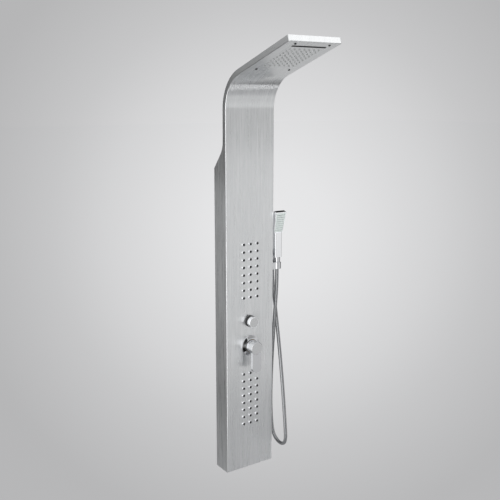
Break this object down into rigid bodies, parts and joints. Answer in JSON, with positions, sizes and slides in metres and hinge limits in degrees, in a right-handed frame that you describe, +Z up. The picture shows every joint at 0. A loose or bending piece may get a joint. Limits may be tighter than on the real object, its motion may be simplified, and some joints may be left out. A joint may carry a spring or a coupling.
{
  "type": "shower panel column",
  "caption": "Bent stainless shower panel with rain and waterfall head, body jets, lever mixer, diverter and hand shower on a hose.",
  "frame": {"origin": "on the wall plane, under the middle of the panel's lower edge", "axes": "+X to the right as the bather sees the panel, +Y into the wall, +Z up"},
  "size_m": [0.2508, 0.4231, 1.5341],
  "materials": {
    "panel_steel": "vertical brushed stainless sheet",
    "inner_steel": "plain stainless or zinc-plated sheet",
    "screw_steel": "plain stainless",
    "silicone": "soft matt silicone",
    "chrome": "polished chrome",
    "cap_steel": "turned stainless cap",
    "brass": "cast and turned brass",
    "white_plastic": "moulded plastic",
    "dark_plastic": "moulded plastic",
    "ceramic": "lapped ceramic disc",
    "black_rubber": "matt rubber",
    "hose_jacket": "braided jacket over a rubber hose",
    "spray_plastic": "pale satin plastic",
    "filter_mesh": "fine mesh"
  },
  "bodies": {
    "root": {"front_panel": "panel_steel", "back_cover": "panel_steel", "cover_bridge": "inner_steel", "cover_screws": "screw_steel", "wall_brackets": "inner_steel", "hanging_rails": "inner_steel", "rain_nozzle_mat": "silicone", "waterfall_nozzle": "dark_plastic", "water_box": "white_plastic", "head_screws": "screw_steel", "jet_nozzles": "chrome", "jet_tips": "black_rubber", "upper_jet_manifold": "white_plastic", "lower_jet_manifold": "white_plastic", "diverter_body": "brass", "diverter_panel_nut": "brass", "diverter_escutcheon": "dark_plastic", "diverter_cartridge": "brass", "jet_tee": "brass", "mixer_body": "brass", "mixer_panel_nut": "brass", "mixer_escutcheon": "chrome", "cartridge_housing": "dark_plastic", "cartridge_nut": "brass", "fixed_disc": "ceramic", "inlet_nipples": "brass", "check_valves": "white_plastic", "inlet_filters": "filter_mesh", "union_tube": "brass", "union_nut": "brass", "outlet_elbow": "chrome", "outlet_nut": "brass", "outlet_tail": "brass", "outlet_rosette": "chrome", "hose_nut": "chrome", "outlet_washer": "black_rubber", "hand_shower_holder": "chrome", "holder_screws": "screw_steel", "head_hoses": "hose_jacket", "upper_jet_hose": "hose_jacket", "lower_jet_hose": "hose_jacket", "hand_outlet_hose": "hose_jacket", "hose_ferrules": "inner_steel", "shower_hose": "chrome"},
    "mixer_turn": {"turning_sleeve": "dark_plastic", "pivot_pin": "screw_steel", "moving_disc": "ceramic"},
    "mixer_lever": {"lever_stem": "screw_steel", "mixer_handle": "chrome", "handle_cap": "cap_steel", "handle_screw": "screw_steel"},
    "diverter_turn": {"diverter_stem": "brass", "diverter_knob": "chrome", "diverter_cap": "cap_steel", "diverter_knob_screw": "screw_steel"},
    "hand_shower": {"hand_shower_body": "chrome", "spray_face": "spray_plastic", "spray_nozzles": "silicone", "hose_cone": "chrome", "cone_washer": "black_rubber"}
  },
  "joints": [
    {"name": "mixer_temperature", "type": "hinge", "parent": "root", "child": "mixer_turn", "pos_m": [0, -0.075, 0.475], "axis": [0, -1, 0], "range_deg": [-45, 45]},
    {"name": "mixer_lift", "type": "hinge", "parent": "mixer_turn", "child": "mixer_lever", "pos_m": [0, -0.0875, 0.475], "axis": [-1, 0, 0], "range_deg": [0, 20]},
    {"name": "diverter_select", "type": "hinge", "parent": "root", "child": "diverter_turn", "pos_m": [0, -0.075, 0.5665], "axis": [0, -1, 0], "range_deg": [0, 270]},
    {"name": "hand_shower_lift", "type": "slide", "parent": "root", "child": "hand_shower", "axis": [0, 0, 1], "range_m": [0, 0.06]}
  ]
}
